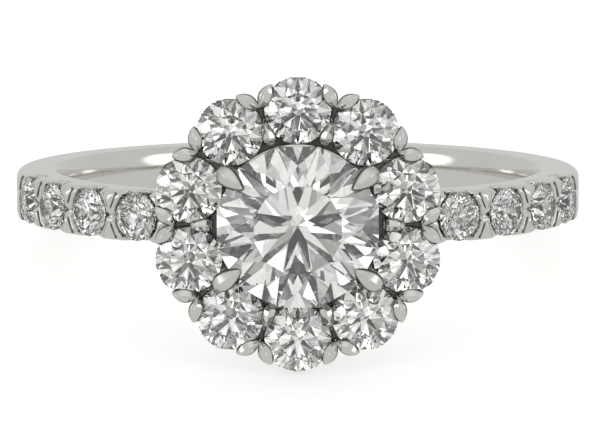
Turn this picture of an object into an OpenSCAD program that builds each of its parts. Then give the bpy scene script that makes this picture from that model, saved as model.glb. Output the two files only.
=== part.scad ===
// Halo ring, lying on its side as it rests on a table.
// The ring is drawn upright round its finger axis, which is local Z, with the
// head towards -Y. The last step tips it onto its side and lifts it to Z = 0.

/* [Finger hole and band] */
// Inside diameter of the finger hole
finger_d = 17.3; // [15.5:0.1:20]
// Thickness of the band, from the finger hole to its outer face
band_t = 1.6; // [1.4:0.05:2]
// Width of the band along the finger
band_w = 1.75; // [1.65:0.05:2.3]
// Radius of the band's outer edges
outer_round = 0.3; // [0.15:0.05:0.5]
// Radius of the band's edges at the finger hole
inner_round = 0.18; // [0.1:0.02:0.3]

/* [Centre stone] */
// Width of the centre stone between two opposite flat sides
centre_d = 5.4; // [5:0.1:6]
// Room between the finger hole and the point of the centre stone
culet_room = 0.4; // [0.3:0.05:1]
// Width of a claw that holds the centre stone
claw_w = 0.68; // [0.55:0.02:0.8]
// Length of a claw's tip
claw_l = 1.05; // [0.9:0.05:1.3]
// Radius of the post below a claw
post_r = 0.33; // [0.25:0.01:0.36]

/* [Halo] */
// Diameter of a halo stone
halo_stone_d = 2.25; // [2.1:0.05:2.4]
// Least space between two neighbouring halo stones
halo_space = 0.1; // [0.08:0.02:0.2]
// Space between the halo stones and the side of the centre stone, seen from the front
halo_inset = 0.025; // [0:0.025:0.3]
// How far the halo stones sit below the centre stone
halo_drop = 0.62; // [0.5:0.02:0.9]
// Wall of metal round a halo stone
halo_wall = 0.1; // [0.08:0.02:0.16]
// Depth of a halo cup below its stone's girdle
cup_depth = 0.62; // [0.5:0.02:0.8]
// How much narrower a cup is at its foot
cup_taper = 0.25; // [0.2:0.01:0.3]
// Length of a petal prong
petal_l = 0.92; // [0.7:0.02:1.1]
// Width of a petal prong
petal_w = 0.4; // [0.3:0.02:0.5]

/* [Shoulders] */
// Diameter of a shoulder stone
band_stone_d = 1.66; // [1.5:0.02:1.9]
// Space between two neighbouring shoulder stones
band_space = 0.52; // [0.36:0.02:0.6]
// Distance along the band from the halo's edge to the first shoulder stone's centre
first_stone_out = 0.42; // [0.3:0.02:1]
// How deep the girdle of a shoulder stone sits below the face of the band
band_sink = 0.14; // [0.1:0.01:0.2]
// Width of the groove that parts the metal between two shoulder stones
split_w = 0.3; // [0.2:0.02:0.4]

/* [Cut of the stones] */
// Width of the centre stone's table, as a share of its diameter
centre_table = 0.54; // [0.5:0.01:0.6]
// Width of a small stone's table, as a share of its diameter
small_table = 0.57; // [0.52:0.01:0.62]
// Height of the crown, as a share of the diameter
crown_share = 0.15; // [0.12:0.01:0.17]
// Height of the girdle, as a share of the diameter
girdle_share = 0.03; // [0.02:0.005:0.04]
// Depth of the pavilion, as a share of the diameter
pavilion_share = 0.43; // [0.4:0.005:0.45]
// Room between a stone and its seat
seat_gap = 0.02; // [0.01:0.005:0.04]

/* [Hidden] */
HALO_COUNT = 10;
SHOULDER_COUNT = 4;
CENTRE_FACET_COUNT = 12;
SMALL_FACET_COUNT = 8;
// Gaps of the halo that hold a claw, counted from the right hand side
CLAW_GAPS = [1, 4, 6, 9];

finger_r = finger_d / 2;
band_r = finger_r + band_t;
centre_r = centre_d / 2;
centre_corner_r = centre_r / cos(180 / CENTRE_FACET_COUNT);
halo_stone_r = halo_stone_d / 2;
band_stone_r = band_stone_d / 2;

// Heights in the head are distances from the finger axis
centre_z = finger_r + culet_room + centre_d * pavilion_share;
centre_top = centre_z + centre_d * girdle_share;
centre_table_z = centre_top + centre_d * crown_share;
centre_table_r = centre_corner_r * centre_table;
halo_z = centre_z - halo_drop;
halo_top = halo_z + halo_stone_d * girdle_share;

// The circle of halo stones clears the centre stone and spaces its own stones
halo_step = 360 / HALO_COUNT;
halo_r = max(centre_r + halo_inset + halo_stone_r,
             (halo_stone_d + halo_space) / 2 / sin(halo_step / 2));
cup_r = halo_stone_r + seat_gap + halo_wall;
cup_foot_z = halo_z - cup_depth;
halo_edge = halo_r + cup_r;

band_girdle_r = band_r - band_sink;
shoulder_step = 2 * asin((band_stone_d + band_space) / 2 / band_girdle_r);
first_angle = asin((halo_edge + first_stone_out) / band_girdle_r);

// The ring rests on the front edge of its lowest cup and on the back of its
// band, whose rounded edge the line of rest touches
rest_dy = halo_top + band_r - outer_round;
rest_dz = halo_edge - band_w / 2 + outer_round;
rest_tilt = atan2(rest_dz, rest_dy) - asin(outer_round / norm([rest_dy, rest_dz]));
rest_lift = halo_edge * cos(rest_tilt) - halo_top * sin(rest_tilt);
front_reach = centre_table_z * cos(rest_tilt) + centre_table_r * sin(rest_tilt);
back_reach = band_r * cos(rest_tilt) + (band_w / 2 - outer_round) * sin(rest_tilt);
rest_y = (front_reach - back_reach) / 2;

// Sides of a round form, and how far a cut runs past the metal that it opens
FINE = 96;
OVER = 2;
// Turns a round form about its own axis, which keeps its start off the planes
// of symmetry that other forms meet in
START_TURN = 23;

function two_digits(i) = str(i < 10 ? "0" : "", i);

// Placing

module at_rest() {
    translate([0, rest_y, rest_lift]) rotate([-rest_tilt, 0, 0]) children();
}

// Local Z points out of the head at the given angle from it round the band
module on_band(angle) {
    rotate([0, 0, angle]) rotate([90, 0, 0]) children();
}

module at_halo_stone(i) {
    on_band(0) rotate([0, 0, 90 - (i - 1) * halo_step]) translate([halo_r, 0, halo_z])
        children();
}

module at_halo_gap(i) {
    on_band(0) rotate([0, 0, i * halo_step]) children();
}

module at_shoulder_stone(side, i) {
    on_band(side * (first_angle + (i - 1) * shoulder_step))
        translate([0, 0, band_girdle_r]) children();
}

// Stones, whose girdle has its lower edge at Z = 0 and its main corner on X

function circle_points(n, r, z, turn) =
    [for (k = [0:n - 1]) [r * cos(turn + k * 360 / n), r * sin(turn + k * 360 / n), z]];

// Where the tips of the star facets and of the lower facets lie, as shares of the radius
STAR_REACH = 0.76;
LOWER_REACH = 0.24;

// Height of the crown's kite plane above the girdle, at a star's tip
function star_height(fold, table_share, crown) =
    crown * (1 - STAR_REACH * cos(180 / fold)) / (1 - table_share);

// Depth of the main pavilion plane where two lower facets meet it
function lower_depth(fold, pavilion) = pavilion * (1 - LOWER_REACH * cos(180 / fold));

// r is the radius to a girdle corner and sides the number of girdle sides
module brilliant(d, r, fold, sides, table_share) {
    crown = d * crown_share;
    girdle = d * girdle_share;
    pavilion = d * pavilion_share;
    half = 180 / fold;
    points = concat(
        circle_points(fold, r * table_share, girdle + crown, 0),
        circle_points(fold, r * STAR_REACH,
                      girdle + star_height(fold, table_share, crown), half),
        circle_points(sides, r, girdle, 0),
        circle_points(sides, r, 0, 0),
        circle_points(fold, r * LOWER_REACH, -lower_depth(fold, pavilion), half),
        [[0, 0, -pavilion]]
    );
    star = fold;
    top = 2 * fold;
    bottom = top + sides;
    lower = bottom + sides;
    culet = lower + fold;
    split = sides / fold;
    faces = concat(
        [[for (k = [fold - 1:-1:0]) k]],
        [for (k = [0:fold - 1]) [k, (k + 1) % fold, star + k]],
        [for (k = [0:fold - 1])
            [k, star + k, top + k * split, star + (k + fold - 1) % fold]],
        [for (j = [0:sides - 1])
            [top + j, star + floor(j / split), top + (j + 1) % sides]],
        [for (j = [0:sides - 1])
            [top + j, top + (j + 1) % sides, bottom + (j + 1) % sides, bottom + j]],
        [for (j = [0:sides - 1])
            [bottom + j, bottom + (j + 1) % sides, lower + floor(j / split)]],
        [for (k = [0:fold - 1])
            [culet, lower + (k + fold - 1) % fold, bottom + k * split, lower + k]]
    );
    polyhedron(points, faces);
}

// Room that a stone needs in the metal, with all above it left open
module stone_room(d, r, fold, table_share) {
    crown = d * crown_share;
    girdle = d * girdle_share;
    pavilion = d * pavilion_share;
    rotate([0, 0, START_TURN]) rotate_extrude($fn = FINE)
        polygon([
            [0, -pavilion * (1 + seat_gap / r) - seat_gap],
            [r * LOWER_REACH + seat_gap, -lower_depth(fold, pavilion) - seat_gap],
            [r + seat_gap, -seat_gap],
            [r + seat_gap, girdle + seat_gap],
            [r * STAR_REACH + seat_gap,
             girdle + star_height(fold, table_share, crown) + seat_gap],
            [r * table_share + seat_gap, girdle + crown + seat_gap],
            [r * table_share + seat_gap, girdle + crown + OVER],
            [0, girdle + crown + OVER]
        ]);
}

module centre_stone() {
    color([0.93, 0.95, 0.96])
        at_rest() on_band(0) translate([0, 0, centre_z]) rotate([0, 0, 180 / CENTRE_FACET_COUNT])
            brilliant(centre_d, centre_corner_r, CENTRE_FACET_COUNT, CENTRE_FACET_COUNT, centre_table);
}

module halo_stone(i) {
    color([0.9, 0.92, 0.94])
        at_rest() at_halo_stone(i)
            brilliant(halo_stone_d, halo_stone_r, SMALL_FACET_COUNT, 2 * SMALL_FACET_COUNT, small_table);
}

module shoulder_stone(side, i) {
    color([0.88, 0.9, 0.93])
        at_rest() at_shoulder_stone(side, i)
            brilliant(band_stone_d, band_stone_r, SMALL_FACET_COUNT, 2 * SMALL_FACET_COUNT, small_table);
}

// Metal

// Each row is a place along a leaf, as shares of its length, half width and
// height: where, how wide, how high its edge and how high its ridge
CLAW_ROWS = [
    [0, 0.35, 0.05, 0.3],
    [0.2, 0.85, 0.3, 0.85],
    [0.45, 1, 0.4, 1],
    [0.75, 0.6, 0.35, 0.85],
    [1, 0.08, 0.3, 0.5]
];
PETAL_ROWS = [
    [0, 0.12, 0.2, 0.4],
    [0.25, 0.8, 0.35, 0.85],
    [0.5, 1, 0.4, 1],
    [0.75, 0.8, 0.35, 0.85],
    [1, 0.12, 0.2, 0.4]
];
BEAD_ROWS = [
    [0, 0.45, 0.2, 0.5],
    [0.3, 1, 0.35, 1],
    [0.7, 0.8, 0.35, 0.95],
    [1, 0.45, 0.3, 0.55]
];

// A leaf lies along X with its ridge up and a keel that runs into the metal
module leaf(rows, length, width, height, keel) {
    last = len(rows) - 1;
    points = [for (row = rows)
        let (x = length * (row[0] - 0.5), y = width / 2 * row[1])
        for (p = [[x, -y, height * row[2]], [x, 0, height * row[3]],
                  [x, y, height * row[2]], [x, 0, -keel]]) p];
    faces = concat(
        [[3, 2, 1, 0]],
        [for (i = [0:last - 1], j = [0:3])
            let (a = 4 * i + j, b = 4 * i + (j + 1) % 4)
            for (f = [[a, b + 4, a + 4], [a, b, b + 4]]) f],
        [[for (j = [0:3]) 4 * last + j]]
    );
    polyhedron(points, faces);
}

// A round bar from one point to another
module bar(from, to, r_from, r_to) {
    v = to - from;
    translate(from) rotate([0, acos(v[2] / norm(v)), atan2(v[1], v[0])])
        rotate([0, 0, START_TURN])
            cylinder(h = norm(v), r1 = r_from, r2 = r_to, $fn = FINE);
}

// A rounded edge of the band's section
ARC_STEPS = 4;

function corner_arc(cx, cz, r, from) =
    [for (k = [0:ARC_STEPS])
        let (a = from + 90 * k / ARC_STEPS) [cx + r * cos(a), cz + r * sin(a)]];

module plain_band() {
    half = band_w / 2;
    rotate_extrude($fn = FINE)
        polygon(concat(
            corner_arc(band_r - outer_round, half - outer_round, outer_round, 0),
            corner_arc(finger_r + inner_round, half - inner_round, inner_round, 90),
            corner_arc(finger_r + inner_round, inner_round - half, inner_round, 180),
            corner_arc(band_r - outer_round, outer_round - half, outer_round, 270)
        ));
}

// Cuts that leave the shoulder stones on posts, open to both sides, and the
// light holes below the stones, as shares of a stone's radius
SCOOP_SHARE = 0.7;
HOLE_SHARE = 0.4;
// How far each side of the groove between the stones leans out past the band
SPLIT_LEAN = 0.5;

module shoulder_cuts() {
    for (side = [-1, 1], i = [1:SHOULDER_COUNT]) at_shoulder_stone(side, i) {
        rotate([90, 0, 0])
            cylinder(h = band_w + 2 * OVER, r = band_stone_r * SCOOP_SHARE, center = true,
                     $fn = FINE);
        translate([0, 0, -band_t]) cylinder(h = band_t, r = band_stone_r * HOLE_SHARE, $fn = FINE);
    }
    split_from = first_angle - shoulder_step / 2;
    split_sweep = shoulder_step * SHOULDER_COUNT;
    for (from = [split_from - 90, -split_from - split_sweep - 90])
        rotate([0, 0, from]) rotate_extrude(angle = split_sweep, $fn = FINE)
            polygon([[band_girdle_r - split_w / 2, 0],
                     [band_r + OVER, -split_w / 2 - SPLIT_LEAN],
                     [band_r + OVER, split_w / 2 + SPLIT_LEAN]]);
}

// Claws, whose posts stand on the band in the gaps of the halo
CLAW_LEAN = 29;
CLAW_OUT = 0.06;
// Lift of the claw's edge, its height and its keel, as shares of its width
CLAW_LIFT = 0.2;
CLAW_HEIGHT = 0.5;
CLAW_KEEL = 0.8;
// Where a post stands on the band, as a share of the centre stone's radius, and
// its foot's height above the finger hole
POST_STAND = 0.62;
POST_UP = 0.5;
// Radius of the rail that joins the posts, and how far it runs below the cups
RAIL_BAR = 0.28;
RAIL_DROP = 0.35;
post_foot = [centre_r * POST_STAND, 0, finger_r + POST_UP];
post_head = [centre_corner_r + post_r / 2, 0, centre_top];
rail_z = cup_foot_z - RAIL_DROP;
rail_r = post_foot[0] + (post_head[0] - post_foot[0])
    * (rail_z - post_foot[2]) / (post_head[2] - post_foot[2]);

module basket() {
    for (gap = CLAW_GAPS) at_halo_gap(gap) bar(post_foot, post_head, post_r, post_r);
    on_band(0) translate([0, 0, rail_z]) rotate([0, 0, START_TURN])
        rotate_extrude($fn = FINE) translate([rail_r, 0]) circle(r = RAIL_BAR, $fn = FINE);
}

module claw_tips() {
    for (gap = CLAW_GAPS) at_halo_gap(gap)
        translate([centre_corner_r + CLAW_OUT, 0, centre_top + claw_w * CLAW_LIFT])
            rotate([0, CLAW_LEAN, 0]) rotate([0, 0, 180])
                leaf(CLAW_ROWS, claw_l, claw_w, claw_w * CLAW_HEIGHT, claw_w * CLAW_KEEL);
}

// Halo cups, joined by a plate under the stones
PLATE_T = 0.35;
PLATE_UP = 0.06;

module halo_cups() {
    for (i = [1:HALO_COUNT]) at_halo_stone(i) translate([0, 0, -cup_depth])
        cylinder(h = halo_top - cup_foot_z, r1 = cup_r - cup_taper, r2 = cup_r, $fn = FINE);
    on_band(0) translate([0, 0, cup_foot_z + PLATE_UP]) rotate([0, 0, START_TURN])
        difference() {
            cylinder(h = PLATE_T, r = halo_r, $fn = FINE);
            translate([0, 0, -OVER])
                cylinder(h = PLATE_T + 2 * OVER, r = halo_r - cup_r, $fn = FINE);
        }
}

// Two petals hold each halo stone at its outer side
PETAL_TURN = 61;
PETAL_LEAN = 12;
PETAL_OUT = 0.08;
PETAL_HEIGHT = 0.5;

module petals() {
    for (i = [1:HALO_COUNT], side = [-1, 1]) at_halo_stone(i) rotate([0, 0, side * PETAL_TURN])
        translate([halo_stone_r + PETAL_OUT, 0, halo_top - halo_z])
            rotate([0, PETAL_LEAN, 0]) rotate([0, 0, 90])
                leaf(PETAL_ROWS, petal_l, petal_w, petal_w * PETAL_HEIGHT, petal_w);
}

// A bead holds two halo stones at each inner gap that has no claw. Its length and
// place are shares of a petal's length, its other sizes are shares of a petal's width
BEAD_L = 0.64;
BEAD_IN = 0.58;
BEAD_W = 1.55;
BEAD_HEIGHT = 0.6;
BEAD_KEEL = 1.2;

module beads() {
    for (gap = [0:HALO_COUNT - 1]) if (len(search(gap, CLAW_GAPS)) == 0) at_halo_gap(gap)
        translate([halo_r * cos(halo_step / 2) - petal_l * BEAD_IN, 0, halo_top])
            leaf(BEAD_ROWS, petal_l * BEAD_L, petal_w * BEAD_W, petal_w * BEAD_HEIGHT,
                 petal_w * BEAD_KEEL);
}

// How far the light holes of the halo run below the foot of its cups
HOLE_DROP = 0.5;

module stone_rooms() {
    on_band(0) translate([0, 0, centre_z])
        stone_room(centre_d, centre_corner_r, CENTRE_FACET_COUNT, centre_table);
    for (i = [1:HALO_COUNT]) at_halo_stone(i) {
        stone_room(halo_stone_d, halo_stone_r, SMALL_FACET_COUNT, small_table);
        translate([0, 0, -cup_depth - HOLE_DROP])
            cylinder(h = cup_depth, r = halo_stone_r * HOLE_SHARE, $fn = FINE);
    }
    for (side = [-1, 1], i = [1:SHOULDER_COUNT]) at_shoulder_stone(side, i)
        stone_room(band_stone_d, band_stone_r, SMALL_FACET_COUNT, small_table);
}

module band_and_setting() {
    color([0.78, 0.78, 0.76]) at_rest() difference() {
        union() {
            difference() {
                plain_band();
                shoulder_cuts();
            }
            halo_cups();
            basket();
            petals();
            beads();
            claw_tips();
        }
        stone_rooms();
    }
}

band_and_setting();
centre_stone();
for (i = [1:HALO_COUNT])
    halo_stone(i);
for (i = [1:SHOULDER_COUNT]) {
    shoulder_stone(-1, i);
    shoulder_stone(1, i);
}
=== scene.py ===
import math

import bmesh
import bpy
from mathutils import Matrix, Vector


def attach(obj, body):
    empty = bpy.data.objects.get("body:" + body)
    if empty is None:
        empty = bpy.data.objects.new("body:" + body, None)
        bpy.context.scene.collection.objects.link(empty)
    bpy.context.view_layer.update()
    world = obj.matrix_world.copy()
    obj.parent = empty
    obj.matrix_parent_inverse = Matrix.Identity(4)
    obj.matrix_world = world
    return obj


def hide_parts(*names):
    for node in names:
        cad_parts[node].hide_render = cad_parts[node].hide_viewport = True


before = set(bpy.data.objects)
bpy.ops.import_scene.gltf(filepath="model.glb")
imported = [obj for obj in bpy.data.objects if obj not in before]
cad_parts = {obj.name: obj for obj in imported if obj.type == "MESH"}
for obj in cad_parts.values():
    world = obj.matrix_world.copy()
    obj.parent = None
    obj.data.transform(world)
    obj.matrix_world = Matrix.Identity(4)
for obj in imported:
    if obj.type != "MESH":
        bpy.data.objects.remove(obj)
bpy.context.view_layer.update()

# The halo ring's looks. Pieces are drawn in millimetres round the finger axis, which is
# local Z, with the head towards -Y, and are then laid on their side as the ring rests.

MM = 0.001

# Sizes in millimetres, as the solids have them. The band:
FINGER_R = 8.65
BAND_T = 1.6
BAND_W = 1.75
OUTER_ROUND = 0.3

# The centre stone, from its middle to a flat side, and the room between its point and
# the finger hole
CENTRE_R = 2.7
CULET_ROOM = 0.4

# The halo: its stones, how far they lie out from the centre stone and below it, the wall
# of metal round a stone, and the cups
HALO_COUNT = 10
HALO_STONE_R = 1.125
HALO_INSET = 0.025
HALO_DROP = 0.62
HALO_WALL = 0.1
CUP_DEPTH = 0.62
CUP_TAPER = 0.25

# The shoulders: their stones, the space between two of them, the way from the halo's edge
# to the first one, and how deep a girdle lies below the band's face
SHOULDER_COUNT = 4
BAND_STONE_R = 0.83
BAND_SPACE = 0.52
FIRST_STONE_OUT = 0.42
BAND_SINK = 0.14

# The cut of the stones: heights as shares of the diameter
CROWN = 0.15
GIRDLE = 0.03
PAVILION = 0.43

# Where the table, the star facets and the lower facets end, as shares of the radius
CENTRE_TABLE = 0.54
SMALL_TABLE = 0.57
STAR_REACH = 0.76
LOWER_REACH = 0.24

CENTRE_FACETS = 12
SMALL_FACETS = 8

# Room between a stone and its seat, and how far a cut runs past the metal it opens
SEAT_GAP = 0.02
OVER = 2.0

# Sizes that follow. Heights in the head are distances from the finger axis.
SOLID_BAND_R = FINGER_R + BAND_T
CENTRE_CORNER_R = CENTRE_R / math.cos(math.pi / CENTRE_FACETS)
CENTRE_Z = FINGER_R + CULET_ROOM + 2 * CENTRE_R * PAVILION
CENTRE_TOP = CENTRE_Z + 2 * CENTRE_R * GIRDLE
HALO_R = CENTRE_R + HALO_INSET + HALO_STONE_R
HALO_Z = CENTRE_Z - HALO_DROP
HALO_TOP = HALO_Z + 2 * HALO_STONE_R * GIRDLE
HALO_EDGE = HALO_R + HALO_STONE_R + SEAT_GAP + HALO_WALL
CUP_FOOT = HALO_Z - CUP_DEPTH
BAND_GIRDLE_R = SOLID_BAND_R - BAND_SINK
SHOULDER_STEP = 2 * math.degrees(math.asin((BAND_STONE_R + BAND_SPACE / 2) / BAND_GIRDLE_R))
FIRST_ANGLE = math.degrees(math.asin((HALO_EDGE + FIRST_STONE_OUT) / BAND_GIRDLE_R))

# Where the visible metal is slimmer than the solid: what the band gives up to stay in the
# solids' box, and the rim of a cup, which hardly shows round its stone
BAND_TRIM = 0.01
RIM_T = 0.025
BAND_R = SOLID_BAND_R - BAND_TRIM
RIM_R = HALO_STONE_R + SEAT_GAP + RIM_T

# How far the edges of the band's inner wall bend away from the finger
DOME = 0.3

# Each claw: its gap of the halo, counted from the right hand side, how far out and up it
# sits, and its lean in degrees. The lower two lie flatter and farther out.
CLAWS = [
    (1, -0.04, 0.18, 29),
    (4, -0.04, 0.18, 29),
    (6, 0.09, 0.12, 16),
    (9, 0.09, 0.12, 16),
]
CLAW_GAPS = [gap for gap, out, up, lean in CLAWS]


def resting_place():
    """The ring's middle and its whole placing, on the edge of its lowest cup and on the
    back of its band, whose rounded edge the line of rest touches."""
    dy = HALO_TOP + SOLID_BAND_R - OUTER_ROUND
    dz = HALO_EDGE - BAND_W / 2 + OUTER_ROUND
    tilt = math.atan2(dz, dy) - math.asin(OUTER_ROUND / math.hypot(dy, dz))
    sin, cos = math.sin(tilt), math.cos(tilt)
    table_z = CENTRE_TOP + 2 * CENTRE_R * CROWN
    table_r = CENTRE_CORNER_R * CENTRE_TABLE
    front_reach = table_z * cos + table_r * sin
    back_reach = SOLID_BAND_R * cos + (BAND_W / 2 - OUTER_ROUND) * sin
    middle = Vector((0, (front_reach - back_reach) / 2, HALO_EDGE * cos - HALO_TOP * sin))
    placing = Matrix.Translation(middle) @ Matrix.Rotation(-tilt, 4, "X")
    return middle, Matrix.Scale(MM, 4) @ placing


RING_CENTRE, AT_REST = resting_place()


# Places on the ring

def turn(angle, axis):
    return Matrix.Rotation(math.radians(angle), 4, axis)


def move(x, y, z):
    return Matrix.Translation((x, y, z))


def on_band(angle):
    """Local Z points out of the head at 0, and at any other angle from it round the band."""
    return turn(angle, "Z") @ turn(90, "X")


def at_halo_stone(i):
    return on_band(0) @ turn(90 - i * 360 / HALO_COUNT, "Z") @ move(HALO_R, 0, HALO_Z)


def at_halo_gap(i):
    return on_band(0) @ turn(i * 360 / HALO_COUNT, "Z")


def at_shoulder_stone(side, i):
    return on_band(side * (FIRST_ANGLE + i * SHOULDER_STEP)) @ move(0, 0, BAND_GIRDLE_R)


# Mesh work

# Points that lie closer than this are one
WELD = 1e-5

# Sides of round forms
FINE = 96
MEDIUM = 64
PLAIN = 48

# How far one round of smoothing moves a point towards its neighbours' middle
SOFT_FACTOR = 0.5


def circle(steps):
    """The angles of a full circle in radians."""
    return [2 * math.pi * k / steps for k in range(steps)]


def object_of(name, bm):
    mesh = bpy.data.meshes.new(name)
    bm.to_mesh(mesh)
    bm.free()
    made = bpy.data.objects.new(name, mesh)
    bpy.context.scene.collection.objects.link(made)
    return made


def outward(bm):
    """Faces that all point out of the solid."""
    bmesh.ops.remove_doubles(bm, verts=bm.verts, dist=WELD)
    bmesh.ops.recalc_face_normals(bm, faces=bm.faces)


def skin(bm, rings, closed):
    """Faces between neighbouring rings of points, and at both ends if the form is open."""
    n = len(rings[0])
    pairs = list(zip(rings, rings[1:]))
    if closed:
        pairs.append((rings[-1], rings[0]))
    for one, two in pairs:
        for k in range(n):
            bm.faces.new((one[k], one[(k + 1) % n], two[(k + 1) % n], two[k]))
    if not closed:
        bm.faces.new(rings[0])
        bm.faces.new(rings[-1])


def turned(section, angles, closed):
    """A solid of revolution round the finger axis. section is a closed loop of (radius, z)."""
    bm = bmesh.new()
    rings = [[bm.verts.new((r * math.sin(a), -r * math.cos(a), z)) for r, z in section]
             for a in map(math.radians, angles)]
    skin(bm, rings, closed)
    outward(bm)
    return bm


def hoop(section, steps):
    """A ring round the axis of the head. section is a closed loop of (radius, z)."""
    bm = bmesh.new()
    rings = [[bm.verts.new((r * math.cos(a), r * math.sin(a), z)) for r, z in section]
             for a in circle(steps)]
    skin(bm, rings, True)
    bm.transform(on_band(0))
    outward(bm)
    return bm


def lathed(profile, sides, place):
    """A solid of revolution round local Z. profile runs from axis to axis as (radius, z)."""
    bm = bmesh.new()
    rows = []
    for r, z in profile:
        around = circle(sides) if r else [0.0]
        rows.append([bm.verts.new((r * math.cos(a), r * math.sin(a), z)) for a in around])
    for one, two in zip(rows, rows[1:]):
        for k in range(sides):
            loop = [one[k % len(one)], one[(k + 1) % len(one)],
                    two[(k + 1) % len(two)], two[k % len(two)]]
            # On the axis two corners of a face are one point
            bm.faces.new([v for j, v in enumerate(loop) if v not in loop[:j]])
    bm.transform(place)
    outward(bm)
    return bm


def bar(r, low, high, sides, place):
    """A round bar along local Z."""
    return lathed([(0, low), (r, low), (r, high), (0, high)], sides, place)


def joined(name, parts):
    """One object of several loose solids."""
    whole = bmesh.new()
    for bm in parts:
        mesh = bpy.data.meshes.new("part")
        bm.to_mesh(mesh)
        bm.free()
        whole.from_mesh(mesh)
        bpy.data.meshes.remove(mesh)
    return object_of(name, whole)


def plain_mesh(obj):
    """The object with its modifiers worked out."""
    depsgraph = bpy.context.evaluated_depsgraph_get()
    depsgraph.update()
    mesh = bpy.data.meshes.new_from_object(obj.evaluated_get(depsgraph))
    obj.modifiers.clear()
    obj.data = mesh
    return obj


def smooth(obj):
    for face in obj.data.polygons:
        face.use_smooth = True
    return obj


def cut(obj, cutter, solver="EXACT"):
    """The object without the cutter's room. The exact solver also takes solids that
    overlap each other, and the manifold one is fast on a single dense solid."""
    m = obj.modifiers.new("cut", "BOOLEAN")
    m.operation = "DIFFERENCE"
    m.solver = solver
    m.use_self = solver == "EXACT"
    m.object = cutter
    plain_mesh(obj)
    bpy.data.objects.remove(cutter)
    return obj


def remeshed(obj, voxel, rounds):
    """The object as one soft skin of small even faces."""
    m = obj.modifiers.new("voxels", "REMESH")
    m.mode = "VOXEL"
    m.voxel_size = voxel
    m.use_smooth_shade = True
    s = obj.modifiers.new("soft", "SMOOTH")
    s.iterations = rounds
    s.factor = SOFT_FACTOR
    return plain_mesh(obj)


# Painted shade in recesses

# Each pair runs from where the painted shade of a recess starts to where it is full. Behind the
# face of the halo, below the face of the band, and from a leaf's skin to its border:
BEHIND_HALO = (0.02, 0.4)
BELOW_BAND = (0.06, 0.24)
LEAF_BORDER = (0.2, 0.55)

# Each pair runs from where the painted shade is full to where it ends. Out from the head's
# middle, and out from the middle line of the band:
HEAD_REACH = (4.2, 4.7)
BAND_REACH = (0.62, 0.82)

# Metal whose normal turns to the front gets more painted shade, and a band's side face stays
# light
TURNED_AHEAD = (-0.3, 0.1)
SIDE_FACE = (0.6, 0.9)

# How dark the painted shade on a leaf's border is, and how far past the outer stones of a
# shoulder the painted shade goes, as a share of the step between two stones
BORDER_SHADE = 0.85
SHOULDER_MARGIN = 0.7


def smoothstep(x, low, high):
    t = min(1.0, max(0.0, (x - low) / (high - low)))
    return t * t * (3 - 2 * t)


def paint_shade(obj):
    """Writes how much painted shade each point gets, from 0 to 1, where little light comes:
    behind the halo's face, in the shoulders' slits and on the borders of leaves. The metal is
    rougher there too, as less polished.
    """
    margin = SHOULDER_STEP * SHOULDER_MARGIN
    start = math.radians(FIRST_ANGLE - margin)
    end = math.radians(FIRST_ANGLE + SHOULDER_STEP * (SHOULDER_COUNT - 1) + margin)
    painted_outline = obj.data.attributes.get("painted_outline")
    painted_shade_shares = []
    for v in obj.data.vertices:
        x, y, z = v.co
        r = math.hypot(x, y)
        # Painted shade behind the halo's face, on the cups and on the band under the head, and
        # in the slits and groove of the shoulders below the band's face
        ahead = smoothstep(-v.normal.y, *TURNED_AHEAD)
        if r < BAND_R:
            ahead *= 1 - smoothstep(abs(v.normal.z), *SIDE_FACE)
        under_head = 1 - smoothstep(math.hypot(x, z), *HEAD_REACH)
        behind = smoothstep(HALO_TOP + y, *BEHIND_HALO) * under_head * ahead * (y < 0)
        on_shoulder = start < math.atan2(abs(x), -y) < end and r > FINGER_R + DOME
        sunk = smoothstep(BAND_R - r, *BELOW_BAND) * (1 - smoothstep(abs(z), *BAND_REACH))
        # Painted shade along a leaf's border, drawn as a dark outline
        edge = smoothstep(painted_outline.data[v.index].value, *LEAF_BORDER) if painted_outline else 0
        painted_shade_shares.append(max(behind, sunk * on_shoulder, edge * BORDER_SHADE))
    if painted_outline:
        obj.data.attributes.remove(painted_outline)
    painted_shade = obj.data.attributes.new("painted_shade", "FLOAT", "POINT")
    painted_shade.data.foreach_set("value", painted_shade_shares)
    return obj


def finished(obj, material):
    """Lays a piece at rest, with its place in its mesh, and hangs it on the ring."""
    paint_shade(obj)
    obj.data.transform(AT_REST)
    obj.data.update()
    obj.data.materials.clear()
    obj.data.materials.append(material)
    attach(obj, "root")
    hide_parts("band_and_setting")
    return obj


# Shader nodes

def feed(tree, socket, source):
    """Links a socket to another node's output, or sets it to a value."""
    if isinstance(source, bpy.types.NodeSocket):
        tree.links.new(source, socket)
    else:
        socket.default_value = source


def set_on(tree, node, **inputs):
    """Feeds a node's inputs, whose names are written with _ for a space."""
    for name, source in inputs.items():
        feed(tree, node.inputs[name.replace("_", " ")], source)


def add(tree, kind, **inputs):
    node = tree.nodes.new(kind)
    set_on(tree, node, **inputs)
    return node


def maths(tree, operation, *terms, kind="ShaderNodeMath", output="Value"):
    node = tree.nodes.new(kind)
    node.operation = operation
    for socket, term in zip(node.inputs, terms):
        feed(tree, socket, term)
    return node.outputs[output]


def vector_maths(tree, operation, a, b, output="Vector"):
    return maths(tree, operation, a, b, kind="ShaderNodeVectorMath", output=output)


def mixed(tree, factor, a, b, kind="FLOAT"):
    """a where the factor is 0 and b where it is 1."""
    node = tree.nodes.new("ShaderNodeMix")
    node.data_type = kind
    set_on(tree, node, Factor=factor, A=a, B=b)
    return node.outputs["Result"]


def principled(name, **inputs):
    """A new material with its node tree and its shader."""
    material = bpy.data.materials.new(name)
    material.use_nodes = True
    tree = material.node_tree
    shader = tree.nodes["Principled BSDF"]
    set_on(tree, shader, **inputs)
    return material, tree, shader


# Finishes

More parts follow.
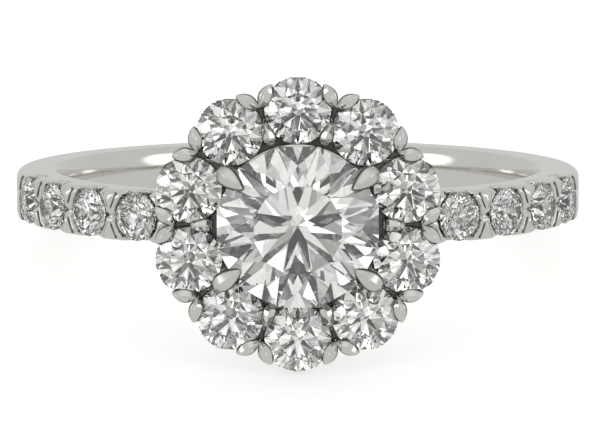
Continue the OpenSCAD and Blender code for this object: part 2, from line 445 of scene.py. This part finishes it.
# Polishing lines: how much finer they are than the clouds of wear, and how much closer
# they lie along each axis
LINE_FINENESS = 3.0
LINE_STRETCH = (1.0, 1.0, 14.0)

# The part of the noise that runs from the lowest to the highest roughness
CLOUD_RANGE = (0.3, 0.7)

# Painted shade: its colour, and how much rougher the metal is there. The height of the bump is
# in metres.
PAINTED_SHADE_TONE = (0.03, 0.03, 0.028)
RECESS_ROUGHER = 0.3
BUMP_HEIGHT = 0.00001

DIAMOND_IOR = 2.417


def polish_wear():
    """Fine polishing lines and cloudy wear: values for roughness, tint and height."""
    group = bpy.data.node_groups.new("polish_wear", "ShaderNodeTree")
    for name, value in (("Scale", 400.0), ("Low", 0.05), ("High", 0.14)):
        socket = group.interface.new_socket(name, in_out="INPUT", socket_type="NodeSocketFloat")
        socket.default_value = value
    for name in ("Roughness", "Tint", "Height"):
        group.interface.new_socket(name, in_out="OUTPUT", socket_type="NodeSocketFloat")
    given = add(group, "NodeGroupInput").outputs
    place = add(group, "ShaderNodeTexCoord").outputs["Object"]
    cloud = add(group, "ShaderNodeTexNoise", Vector=place, Scale=given["Scale"], Detail=4.0)
    lines = add(group, "ShaderNodeTexNoise", Detail=2.0,
                Vector=vector_maths(group, "MULTIPLY", place, LINE_STRETCH),
                Scale=maths(group, "MULTIPLY", given["Scale"], LINE_FINENESS))
    rough = add(group, "ShaderNodeMapRange", Value=cloud.outputs["Fac"],
                From_Min=CLOUD_RANGE[0], From_Max=CLOUD_RANGE[1],
                To_Min=given["Low"], To_Max=given["High"])
    add(group, "NodeGroupOutput", Roughness=rough.outputs["Result"],
        Tint=cloud.outputs["Fac"], Height=lines.outputs["Fac"])
    return group


def metal(name, dark, light, low, high, wear, depth):
    """White gold between two tones and two roughnesses, with painted shade where its attribute
    says.
    """
    material, tree, shader = principled(name, Metallic=1.0)
    worn = add(tree, "ShaderNodeGroup")
    worn.node_tree = wear
    set_on(tree, worn, Low=low, High=high)
    painted_shade = add(tree, "ShaderNodeAttribute")
    painted_shade.attribute_name = "painted_shade"
    painted_shade_share = painted_shade.outputs["Fac"]
    tone = mixed(tree, worn.outputs["Tint"], (*dark, 1), (*light, 1), "RGBA")
    # Painted shade: the tone turns near black where the attribute is high
    shaded = mixed(tree, painted_shade_share, tone, (*PAINTED_SHADE_TONE, 1), "RGBA")
    rough = maths(tree, "MULTIPLY_ADD", painted_shade_share, RECESS_ROUGHER, worn.outputs["Roughness"])
    bump = add(tree, "ShaderNodeBump", Strength=depth, Distance=BUMP_HEIGHT,
               Height=worn.outputs["Height"])
    set_on(tree, shader, Base_Color=shaded, Roughness=rough, Normal=bump.outputs["Normal"])
    return material


def diamond(name, cool, warm, scale):
    """A clear stone that drifts between two pale tints, a painted stand-in for its fire."""
    material, tree, shader = principled(name, Roughness=0.0, IOR=DIAMOND_IOR,
                                        Transmission_Weight=1.0)
    place = add(tree, "ShaderNodeTexCoord").outputs["Object"]
    # Painted fire: the coloured light of dispersion, as tints in the stone's colour
    painted_fire = add(tree, "ShaderNodeTexNoise", Vector=place, Scale=scale, Detail=1.0)
    tint = mixed(tree, painted_fire.outputs["Fac"], (*cool, 1), (*warm, 1), "RGBA")
    set_on(tree, shader, Base_Color=tint)
    return material


# The seats of the stones

def seat_profile(d, r, fold, table):
    """The room of a stone in the metal, open above. r is the radius to a girdle corner."""
    crown, girdle, pavilion = d * CROWN, d * GIRDLE, d * PAVILION
    kite = crown * (1 - STAR_REACH * math.cos(math.pi / fold)) / (1 - table)
    lower = pavilion * (1 - LOWER_REACH * math.cos(math.pi / fold))
    gap = SEAT_GAP
    return [
        (0, -pavilion * (1 + gap / r) - gap),
        (r * LOWER_REACH + gap, -lower - gap),
        (r + gap, -gap),
        (r + gap, girdle + gap),
        (r * STAR_REACH + gap, girdle + kite + gap),
        (r * table + gap, girdle + crown + gap),
        (r * table + gap, girdle + crown + OVER),
        (0, girdle + crown + OVER),
    ]


def small_seat(r, sides, place):
    return lathed(seat_profile(2 * r, r, SMALL_FACETS, SMALL_TABLE), sides, place)


def shoulder_seat(side, i):
    return small_seat(BAND_STONE_R, MEDIUM, at_shoulder_stone(side, i))


def halo_seats(sides):
    return [small_seat(HALO_STONE_R, sides, at_halo_stone(i)) for i in range(HALO_COUNT)]


def halo_room():
    """The room of the halo stones, to seat the leaves over their edges."""
    return joined("halo_room", halo_seats(MEDIUM))


def centre_room():
    profile = seat_profile(2 * CENTRE_R, CENTRE_CORNER_R, CENTRE_FACETS, CENTRE_TABLE)
    return object_of("centre_room", lathed(profile, FINE, on_band(0) @ move(0, 0, CENTRE_Z)))


# The band with its stone-set shoulders

# Points of a rounded corner and of the domed wall, and the widest step on the section
CORNER_STEPS = 6
DOME_STEPS = 32
SECTION_STEP = 0.06

# Degrees from one section to the next, among the stones and on the plain band
SHOULDER_TURN = 0.3
PLAIN_TURN = 1.5

# The scoop across the band at a stone, open to both sides, and the light hole down from
# it, as shares of the stone's radius, and how much longer than the band is thick the hole is
SCOOP_SHARE = 0.7
HOLE_SHARE = 0.4
HOLE_OVER = 0.1

# The slit round a stone: its width at the girdle and how much wider it is at the top,
# how far it runs above and below, and its foot as a share of the stone's radius
SLIT = 0.1
SLIT_FLARE = 0.05
SLIT_UP = 0.6
SLIT_DOWN = 0.3
SLIT_FOOT = 0.85

# The groove that parts the metal between two stones, and how far its sides lean out
SPLIT_W = 0.16
SPLIT_LEAN = 1.1
SPLIT_STEPS = 96

# Edges sharper than this, in degrees, are rounded in this many rounds, after points that
# lie this close are welded
SHARP_ANGLE = 28
SOFT_ROUNDS = 3
EDGE_WELD = 0.004


def rounded_corner(cx, cz, r, start):
    return [
        (cx + r * math.cos(a), cz + r * math.sin(a))
        for a in (math.radians(start + 90 * k / CORNER_STEPS) for k in range(CORNER_STEPS + 1))
    ]


def filled_in(points, step):
    """A closed loop with more points on its long sides."""
    out = []
    for (x, y), (u, v) in zip(points, points[1:] + points[:1]):
        n = max(1, round(math.dist((x, y), (u, v)) / step))
        out += [(x + (u - x) * k / n, y + (v - y) * k / n) for k in range(n)]
    return out


def band_section():
    half = BAND_W / 2
    turns = [math.radians(90 + 180 * k / DOME_STEPS) for k in range(DOME_STEPS + 1)]
    domed = [(FINGER_R + DOME * (1 + math.cos(a)), half * math.sin(a)) for a in turns]
    corners = (
        rounded_corner(BAND_R - OUTER_ROUND, half - OUTER_ROUND, OUTER_ROUND, 0)
        + domed
        + rounded_corner(BAND_R - OUTER_ROUND, OUTER_ROUND - half, OUTER_ROUND, 270)
    )
    return filled_in(corners, SECTION_STEP)


def shoulder_scoop(side, i):
    return bar(BAND_STONE_R * SCOOP_SHARE, -BAND_W, BAND_W, MEDIUM,
               at_shoulder_stone(side, i) @ turn(90, "X"))


def shoulder_hole(side, i):
    return bar(BAND_STONE_R * HOLE_SHARE, -BAND_T - HOLE_OVER, 0, PLAIN,
               at_shoulder_stone(side, i))


def shoulder_slit(side, i):
    """The gap round a stone, which shows dark on the side away from the viewer: partly real
    shadow and partly painted shade.
    """
    r = BAND_STONE_R
    profile = [(0, -SLIT_DOWN), (r * SLIT_FOOT, -SLIT_DOWN), (r + SLIT, 0),
               (r + SLIT + SLIT_FLARE, SLIT_UP), (0, SLIT_UP)]
    return lathed(profile, FINE, at_shoulder_stone(side, i))


def shoulder_split(side):
    start = FIRST_ANGLE - SHOULDER_STEP / 2
    sweep = SHOULDER_STEP * SHOULDER_COUNT
    angles = [side * (start + sweep * k / SPLIT_STEPS) for k in range(SPLIT_STEPS + 1)]
    section = [(BAND_GIRDLE_R - SPLIT_W / 2, 0), (BAND_R + OVER, -SPLIT_W / 2 - SPLIT_LEAN),
               (BAND_R + OVER, SPLIT_W / 2 + SPLIT_LEAN)]
    return turned(section, angles, False)


def soften_edges(obj):
    """Rounds the sharp edges of a dense mesh and leaves the rest as it is."""
    bm = bmesh.new()
    bm.from_mesh(obj.data)
    bmesh.ops.remove_doubles(bm, verts=bm.verts, dist=EDGE_WELD)
    sharp = {v for e in bm.edges if len(e.link_faces) == 2
             and e.calc_face_angle(0) > math.radians(SHARP_ANGLE) for v in e.verts}
    sharp |= {e.other_vert(v) for v in sharp for e in v.link_edges}
    near = sorted(sharp, key=lambda v: v.index)
    for _ in range(SOFT_ROUNDS):
        bmesh.ops.smooth_vert(bm, verts=near, factor=SOFT_FACTOR, use_axis_x=True,
                              use_axis_y=True, use_axis_z=True)
    bm.to_mesh(obj.data)
    bm.free()
    return smooth(obj)


def stone_set_band():
    start = FIRST_ANGLE - SHOULDER_STEP
    end = FIRST_ANGLE + SHOULDER_STEP * SHOULDER_COUNT
    half = []
    a = 0.0
    while a < 180:
        half.append(a)
        a += SHOULDER_TURN if start < a < end else PLAIN_TURN
    angles = half + [180.0] + [-x for x in reversed(half[1:])]
    band = object_of("stone_set_band", turned(band_section(), angles, True))
    cutters = []
    for side in (-1, 1):
        for i in range(SHOULDER_COUNT):
            cutters += [shoulder_scoop(side, i), shoulder_hole(side, i), shoulder_seat(side, i),
                        shoulder_slit(side, i)]
        cutters.append(shoulder_split(side))
    for bm in cutters:
        cut(band, object_of("cutter", bm), "MANIFOLD")
    cut(band, centre_room(), "MANIFOLD")
    return soften_edges(band)


# The cups of the halo, joined by a plate under the stones

# Height of a cup's rim above the lower edge of its stone's girdle
RIM_UP = 0.03

# The plate: its thickness, how far it lies above the foot of the cups, and how far it
# reaches out past the circle of the stones
PLATE_T = 0.35
PLATE_UP = 0.06
PLATE_OUT = 0.3
PLATE_STEPS = 128

# Where a light hole starts below the girdle, and how far it runs below the cup
LIGHT_HOLE_TOP = 0.5
LIGHT_HOLE_RUN = 0.5

# Size of the cups' even faces, and the rounds of smoothing
CUP_VOXEL = 0.045
CUP_ROUNDS = 2


def halo_cups():
    profile = [(0, -CUP_DEPTH), (RIM_R - CUP_TAPER, -CUP_DEPTH), (RIM_R, RIM_UP), (0, RIM_UP)]
    parts = [lathed(profile, FINE, at_halo_stone(i)) for i in range(HALO_COUNT)]
    inner, outer = HALO_R - RIM_R, HALO_R + PLATE_OUT
    low, high = CUP_FOOT + PLATE_UP, CUP_FOOT + PLATE_UP + PLATE_T
    plate = hoop([(outer, low), (outer, high), (inner, high), (inner, low)], PLATE_STEPS)
    cups = joined("halo_cups", parts + [plate])
    holes = [bar(HALO_STONE_R * HOLE_SHARE, -CUP_DEPTH - LIGHT_HOLE_RUN, -LIGHT_HOLE_TOP, PLAIN,
                 at_halo_stone(i)) for i in range(HALO_COUNT)]
    cut(cups, joined("seats", halo_seats(FINE) + holes))
    return remeshed(cups, CUP_VOXEL, CUP_ROUNDS)


# Leaves: petals, beads, claws and prongs

# Each row is a place along a leaf, as shares of its length, half width and height: where,
# how wide, how high its edge and how high its ridge
CLAW_ROWS = [(0, 0.3, 0.05, 0.3), (0.12, 0.72, 0.2, 0.7), (0.3, 0.98, 0.36, 0.95),
             (0.5, 0.96, 0.4, 1.0), (0.72, 0.68, 0.36, 0.9), (0.9, 0.32, 0.32, 0.68),
             (1, 0.06, 0.28, 0.45)]
PETAL_ROWS = [(0, 0.08, 0.18, 0.35), (0.14, 0.52, 0.3, 0.68), (0.32, 0.88, 0.38, 0.94),
              (0.5, 1, 0.4, 1.0), (0.68, 0.88, 0.38, 0.94), (0.86, 0.52, 0.3, 0.68),
              (1, 0.08, 0.18, 0.35)]
BEAD_ROWS = [(0, 0.5, 0.2, 0.5), (0.15, 0.9, 0.32, 0.88), (0.38, 1, 0.38, 1.0),
             (0.72, 0.7, 0.35, 0.92), (1, 0.3, 0.3, 0.55)]
PRONG_ROWS = [(0, 0.9, 0.1, 0.3), (0.15, 1, 0.2, 0.75), (0.45, 0.72, 0.25, 1.0),
              (0.8, 0.36, 0.25, 0.85), (1, 0.12, 0.1, 0.4)]

# Depth of a leaf's underside beside the keel, as a share of the keel
KEEL_SIDE = 0.6

# Which of the eight points of a leaf's section are its edges and its ridge
EDGE_POINTS = (0, 4)
RIDGE_POINT = 2

LEAF_LEVELS = 2

# Petals: their turn round a halo stone and their lean in degrees, and how far out they sit
PETAL_TURN = 66
PETAL_LEAN = 8
PETAL_OUT = 0.05

# How far a bead sits inside the line between its two halo stones
BEAD_IN = 0.42

# Prongs: how far in from the band's edge and below its face they sit, and their lean
PRONG_IN = 0.36
PRONG_SINK = 0.02
PRONG_LEAN = -6


def leaf(name, rows, length, width, height, keel, ridge, flank):
    """A leaf along X with a keel below. ridge is how sharp its ridge stays, from 0 to 1,
    and flank how full it is between edge and ridge."""
    bm = bmesh.new()
    painted_outline = bm.verts.layers.float.new("painted_outline")
    sections = []
    for where, wide, edge, top in rows:
        x, y = length * (where - 0.5), width / 2 * wide
        edge_z, ridge_z, flank_z = height * edge, height * top, height * (edge + top) * flank
        sections.append([bm.verts.new((x, across, z)) for across, z in (
            (-y, edge_z), (-y / 2, flank_z), (0, ridge_z), (y / 2, flank_z), (y, edge_z),
            (y / 2, -keel * KEEL_SIDE), (0, -keel), (-y / 2, -keel * KEEL_SIDE))])
        # The edge points are marked for a painted dark outline, shade painted round the leaf
        for k in EDGE_POINTS:
            sections[-1][k][painted_outline] = 1.0
    skin(bm, sections, False)
    outward(bm)
    crease = bm.edges.layers.float.new("crease_edge")
    ridge_line = {section[RIDGE_POINT] for section in sections}
    for e in bm.edges:
        if set(e.verts) <= ridge_line:
            e[crease] = ridge
    made = smooth(object_of(name, bm))
    s = made.modifiers.new("rounder", "SUBSURF")
    s.levels = s.render_levels = LEAF_LEVELS
    return plain_mesh(made)


def copies_tree():
    """Geometry Nodes: a piece at each place, turned as the place says."""
    tree = bpy.data.node_groups.new("copies_at_places", "GeometryNodeTree")
    face = tree.interface
    face.new_socket("Places", in_out="INPUT", socket_type="NodeSocketGeometry")
    face.new_socket("Piece", in_out="INPUT", socket_type="NodeSocketObject")
    face.new_socket("Size", in_out="INPUT", socket_type="NodeSocketFloat").default_value = 1.0
    face.new_socket("Finish", in_out="INPUT", socket_type="NodeSocketMaterial")
    face.new_socket("Copies", in_out="OUTPUT", socket_type="NodeSocketGeometry")
    make, link = tree.nodes.new, tree.links.new
    given, out = make("NodeGroupInput"), make("NodeGroupOutput")
    piece = make("GeometryNodeObjectInfo")
    turned_by = make("GeometryNodeInputNamedAttribute")
    turned_by.data_type = "FLOAT_VECTOR"
    turned_by.inputs["Name"].default_value = "turned_by"
    euler = make("FunctionNodeEulerToRotation")
    put = make("GeometryNodeInstanceOnPoints")
    real = make("GeometryNodeRealizeInstances")
    finish = make("GeometryNodeSetMaterial")
    link(given.outputs["Places"], put.inputs["Points"])
    link(given.outputs["Piece"], piece.inputs["Object"])
    link(piece.outputs["Geometry"], put.inputs["Instance"])
    link(turned_by.outputs["Attribute"], euler.inputs[0])
    link(euler.outputs[0], put.inputs["Rotation"])
    link(given.outputs["Size"], put.inputs["Scale"])
    link(put.outputs["Instances"], real.inputs["Geometry"])
    link(real.outputs["Geometry"], finish.inputs["Geometry"])
    link(given.outputs["Finish"], finish.inputs["Material"])
    link(finish.outputs["Geometry"], out.inputs["Copies"])
    return tree


def copies(name, piece, places, tree, material, size=1.0):
    """One object with the piece at each of the places."""
    mesh = bpy.data.meshes.new(name)
    mesh.from_pydata([p.to_translation() for p in places], [], [])
    turns = mesh.attributes.new("turned_by", "FLOAT_VECTOR", "POINT")
    turns.data.foreach_set("vector", [x for p in places for x in p.to_euler("XYZ")])
    made = bpy.data.objects.new(name, mesh)
    bpy.context.scene.collection.objects.link(made)
    m = made.modifiers.new("copies", "NODES")
    m.node_group = tree
    sockets = {s.name: s.identifier for s in tree.interface.items_tree if s.in_out == "INPUT"}
    m[sockets["Piece"]] = piece
    m[sockets["Size"]] = size
    m[sockets["Finish"]] = material
    plain_mesh(made)
    bpy.data.objects.remove(piece)
    return smooth(made)


def halo_petals(tree, material):
    petal = leaf("petal", PETAL_ROWS, length=0.92, width=0.64, height=0.34, keel=0.5,
                 ridge=1.0, flank=0.44)
    places = [
        at_halo_stone(i) @ turn(side * PETAL_TURN, "Z")
        @ move(HALO_STONE_R + PETAL_OUT, 0, HALO_TOP - HALO_Z)
        @ turn(PETAL_LEAN, "Y") @ turn(90, "Z")
        for i in range(HALO_COUNT) for side in (-1, 1)
    ]
    return cut(copies("halo_petals", petal, places, tree, material), halo_room())


def inner_beads(tree, material):
    bead = leaf("bead", BEAD_ROWS, length=0.84, width=0.62, height=0.34, keel=0.48,
                ridge=1.0, flank=0.46)
    out = HALO_R * math.cos(math.pi / HALO_COUNT) - BEAD_IN
    places = [at_halo_gap(i) @ move(out, 0, HALO_TOP) for i in range(HALO_COUNT)
              if i not in CLAW_GAPS]
    beads = cut(copies("inner_beads", bead, places, tree, material), halo_room())
    return cut(beads, centre_room())


def claws(tree, material):
    claw = leaf("claw", CLAW_ROWS, length=1.24, width=0.86, height=0.38, keel=0.54,
                ridge=1.0, flank=0.48)
    places = [
        at_halo_gap(gap) @ move(CENTRE_CORNER_R + out, 0, CENTRE_TOP + up)
        @ turn(lean, "Y") @ turn(180, "Z")
        for gap, out, up, lean in CLAWS
    ]
    return cut(copies("claws", claw, places, tree, material), centre_room())


def shoulder_prongs(tree, material):
    prong = leaf("prong", PRONG_ROWS, length=0.62, width=0.78, height=0.13, keel=0.5,
                 ridge=0.7, flank=0.55)
    places = [
        on_band(side * (FIRST_ANGLE + (i - 0.5) * SHOULDER_STEP)) @ turn(90 * edge, "Z")
        @ move(-BAND_W / 2 + PRONG_IN, 0, BAND_R - PRONG_SINK) @ turn(PRONG_LEAN, "Y")
        for side in (-1, 1) for i in range(SHOULDER_COUNT + 1) for edge in (-1, 1)
    ]
    room = joined("shoulder_room", [shoulder_seat(side, i) for side in (-1, 1)
                                    for i in range(SHOULDER_COUNT)])
    return cut(copies("shoulder_prongs", prong, places, tree, material), room)


# The basket

# Where a post stands, as a share of the centre stone's radius, its foot's height above the
# finger hole, and the length and width of its tapered top
POST_R = 0.33
POST_STAND = 0.62
POST_UP = 0.5
POST_TOP = 0.1
POST_TOP_SHARE = 0.8
POST_SIDES = 32

# Radius of the rail's bar, and how far the rail runs below the cups
RAIL_BAR = 0.28
RAIL_DROP = 0.35
RAIL_SIDES = 20
RAIL_STEPS = 96


def basket():
    """Four posts under the claws and the rail that joins them."""
    foot = Vector((CENTRE_R * POST_STAND, 0, FINGER_R + POST_UP))
    head = Vector((CENTRE_CORNER_R + POST_R / 2, 0, CENTRE_TOP))
    lean = math.degrees(math.atan2(head.x - foot.x, head.z - foot.z))
    length = (head - foot).length
    # The ring of points half way up keeps the shading of the post even
    post = [(0, 0), (POST_R, 0), (POST_R, length / 2), (POST_R, length - POST_TOP),
            (POST_R * POST_TOP_SHARE, length), (0, length)]
    posts = [lathed(post, POST_SIDES,
                    at_halo_gap(gap) @ Matrix.Translation(foot) @ turn(lean, "Y"))
             for gap in CLAW_GAPS]
    rail_z = CUP_FOOT - RAIL_DROP
    rail_r = foot.x + (head.x - foot.x) * (rail_z - foot.z) / (head.z - foot.z)
    rail = hoop([(rail_r + RAIL_BAR * math.cos(b), rail_z + RAIL_BAR * math.sin(b))
                 for b in circle(RAIL_SIDES)], RAIL_STEPS)
    return smooth(cut(joined("basket", posts + [rail]), centre_room()))


# Studio

STUDIO_WHITE = (1.0, 1.0, 0.985, 1)

# Patches of the studio: azimuth and elevation, inner and outer radius in degrees, strength
BASE_LIGHT = 0.65
DARK_PATCHES = [(0, 17, 5, 12, 0.5)]
BRIGHT_PATCHES = [(-74, 18, 7, 16, 1.0), (74, 18, 7, 16, 1.0), (0, 75, 20, 34, 0.15)]

# Panels seen from inside the stones: size, place, tones from dark to bright, and strength
PANEL_SCALE = 2.9
PANEL_SHIFT = (4.0, 1.0, 6.0)
PANEL_TONES = [(0.0, 0.01), (0.14, 0.12), (0.26, 0.42), (0.46, 0.7), (0.68, 0.95), (0.86, 1.6)]
PANEL_GLOW = 0.97

# Dark hoods near the viewer, which draw dark arrows in the stones: azimuth and elevation,
# inner and outer radius in degrees
HOODS = [(0, 26, 7, 9), (0, 4, 4, 6)]

# The floor, with its radius in metres: how pale it is and how much it glows to the camera,
# and how bright the metal sees it
FLOOR_R = 2.0
FLOOR_SEEN = 0.5
FLOOR_FILL = 0.62
FLOOR_IN_METAL = 0.65


def patch(tree, sky, azimuth, elevation, inner, outer):
    """1 inside a round patch of the sky and 0 outside it."""
    a, e = math.radians(azimuth), math.radians(elevation)
    aim = (math.sin(a) * math.cos(e), -math.cos(a) * math.cos(e), math.sin(e))
    edge = add(tree, "ShaderNodeMapRange",
               Value=vector_maths(tree, "DOT_PRODUCT", sky, aim, "Value"),
               From_Min=math.cos(math.radians(outer)), From_Max=math.cos(math.radians(inner)))
    edge.interpolation_type = "SMOOTHSTEP"
    return edge.outputs["Result"]


def dimmed(tree, light, mask):
    """The light where the mask is 0, and none of it where the mask is 1."""
    return maths(tree, "MULTIPLY", light, maths(tree, "SUBTRACT", 1.0, mask))


def inside_stone(tree, path):
    """1 for light that has gone into a stone and 0 for other light."""
    return maths(tree, "GREATER_THAN", path["Transmission Depth"], 0.5)


def studio_world():
    """Soft light from all round, with panels that give the facets something to show."""
    world = bpy.data.worlds.new("studio")
    bpy.context.scene.world = world
    world.use_nodes = True
    tree = world.node_tree
    sky = add(tree, "ShaderNodeTexCoord").outputs["Generated"]

    # The smooth studio that the metal and the outsides of the stones reflect
    level = BASE_LIGHT
    for *where, dark in DARK_PATCHES:
        mask = maths(tree, "MULTIPLY", patch(tree, sky, *where), dark)
        level = dimmed(tree, level, mask)
    for *where, glow in BRIGHT_PATCHES:
        level = maths(tree, "MULTIPLY_ADD", patch(tree, sky, *where), glow, level)

    # Small panels that only the light inside the stones meets
    panels = add(tree, "ShaderNodeTexVoronoi", Scale=PANEL_SCALE,
                 Vector=vector_maths(tree, "ADD", sky, PANEL_SHIFT))
    apart = add(tree, "ShaderNodeSeparateColor", Color=panels.outputs["Color"])
    tones = add(tree, "ShaderNodeValToRGB", Fac=apart.outputs["Red"])
    tones.color_ramp.interpolation = "CONSTANT"
    stops = tones.color_ramp.elements
    for k, (where, tone) in enumerate(PANEL_TONES):
        stop = stops[k] if k < len(stops) else stops.new(where)
        stop.position, stop.color = where, (tone, tone, tone, 1)
    panel_light = maths(tree, "MULTIPLY", tones.outputs["Color"], PANEL_GLOW)
    for hood in HOODS:
        panel_light = dimmed(tree, panel_light, patch(tree, sky, *hood))

    # The camera and matt surfaces see an even white
    path = add(tree, "ShaderNodeLightPath").outputs
    lit = mixed(tree, inside_stone(tree, path), level, panel_light)
    even = maths(tree, "MAXIMUM", path["Is Camera Ray"], path["Is Diffuse Ray"])
    set_on(tree, tree.nodes["Background"], Color=STUDIO_WHITE,
           Strength=mixed(tree, even, lit, 1.0))


def floor():
    """White to the camera with a faint shadow, an even grey card to the metal, and nothing
    to the light inside the stones, which goes past it to the panels."""
    bm = bmesh.new()
    bmesh.ops.create_circle(bm, cap_ends=True, segments=FINE, radius=FLOOR_R)
    made = object_of("floor", bm)
    material, tree, card = principled("pale_floor", Roughness=0.9, Specular_IOR_Level=0.0,
                                      Emission_Color=STUDIO_WHITE)
    path = add(tree, "ShaderNodeLightPath").outputs
    to_camera = path["Is Camera Ray"]
    set_on(tree, card, Base_Color=mixed(tree, to_camera, 0.0, FLOOR_SEEN),
           Emission_Strength=mixed(tree, to_camera, FLOOR_IN_METAL, FLOOR_FILL))
    clear = add(tree, "ShaderNodeBsdfTransparent")
    either = add(tree, "ShaderNodeMixShader", Fac=inside_stone(tree, path))
    feed(tree, either.inputs[1], card.outputs["BSDF"])
    feed(tree, either.inputs[2], clear.outputs["BSDF"])
    set_on(tree, tree.nodes["Material Output"], Surface=either.outputs["Shader"])
    made.data.materials.append(material)
    return made


# The photo's camera, fitted to the band's edges: its distance in mm, its lens and its
# frame in pixels, its elevation in degrees and the pixel where the ring's middle lies
CAMERA_DISTANCE = 130.0
FOCAL_PIXELS = 3555.0
FRAME_W, FRAME_H = 600, 426
VIEW_ELEVATION = 17.7
RING_MIDDLE = (297.8, 190.0)

# The width of the sensor in mm, and the nearest and farthest that it sees in metres
SENSOR_W = 36.0
CLIP_RANGE = (0.01, 10.0)


def camera():
    data = bpy.data.cameras.new("camera")
    data.sensor_width = SENSOR_W
    data.lens = SENSOR_W * FOCAL_PIXELS / FRAME_W
    data.clip_start, data.clip_end = CLIP_RANGE
    made = bpy.data.objects.new("camera", data)
    bpy.context.scene.collection.objects.link(made)
    e = math.radians(VIEW_ELEVATION)
    back, up = Vector((0, -math.cos(e), math.sin(e))), Vector((0, math.sin(e), math.cos(e)))
    per_mm = FOCAL_PIXELS / CAMERA_DISTANCE
    aim = (RING_CENTRE + Vector((1, 0, 0)) * ((FRAME_W / 2 - RING_MIDDLE[0]) / per_mm)
           - up * ((FRAME_H / 2 - RING_MIDDLE[1]) / per_mm))
    eye = RING_CENTRE + back * CAMERA_DISTANCE
    made.location = eye * MM
    made.rotation_mode = "QUATERNION"
    made.rotation_quaternion = (aim - eye).to_track_quat("-Z", "Y")
    bpy.context.scene.camera = made


def tones_and_bounces():
    """Plain tones, and enough bounces for light to find its way out of a cut stone."""
    scene = bpy.context.scene
    scene.view_settings.view_transform = "Standard"
    scene.cycles.max_bounces = 32
    scene.cycles.transmission_bounces = 32
    scene.cycles.glossy_bounces = 12
    scene.cycles.sample_clamp_indirect = 4.0


tones_and_bounces()
camera()
studio_world()
floor()

wear = polish_wear()
white_gold = metal("white_gold_polished", dark=(0.74, 0.73, 0.7), light=(0.82, 0.81, 0.785),
                   low=0.04, high=0.12, wear=wear, depth=0.08)
# A darker copy of the white gold for the cups and the basket: its darker tones are painted
# shade under the stones, and its higher roughness is less polished metal
shaded_cup_metal = metal("white_gold_painted_shade", dark=(0.62, 0.61, 0.59), light=(0.7, 0.69, 0.67),
                  low=0.1, high=0.24, wear=wear, depth=0.15)
claw_metal = metal("white_gold_claws", dark=(0.72, 0.71, 0.68), light=(0.8, 0.79, 0.765),
                   low=0.22, high=0.32, wear=wear, depth=0.08)
centre_diamond = diamond("centre_diamond", cool=(0.9, 0.95, 1.0), warm=(1.0, 0.955, 0.88),
                         scale=900.0)
small_diamond = diamond("small_diamond", cool=(0.93, 0.965, 1.0), warm=(1.0, 0.96, 0.9),
                        scale=1500.0)

for make, material in ((stone_set_band, white_gold), (halo_cups, shaded_cup_metal),
                       (basket, shaded_cup_metal)):
    finished(make(), material)

copies_group = copies_tree()
for make, material in ((halo_petals, white_gold), (inner_beads, white_gold),
                       (claws, claw_metal), (shoulder_prongs, white_gold)):
    finished(make(copies_group, material), material)

for name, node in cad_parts.items():
    if name != "band_and_setting":
        node.data.materials.clear()
        node.data.materials.append(centre_diamond if name == "centre_stone" else small_diamond)
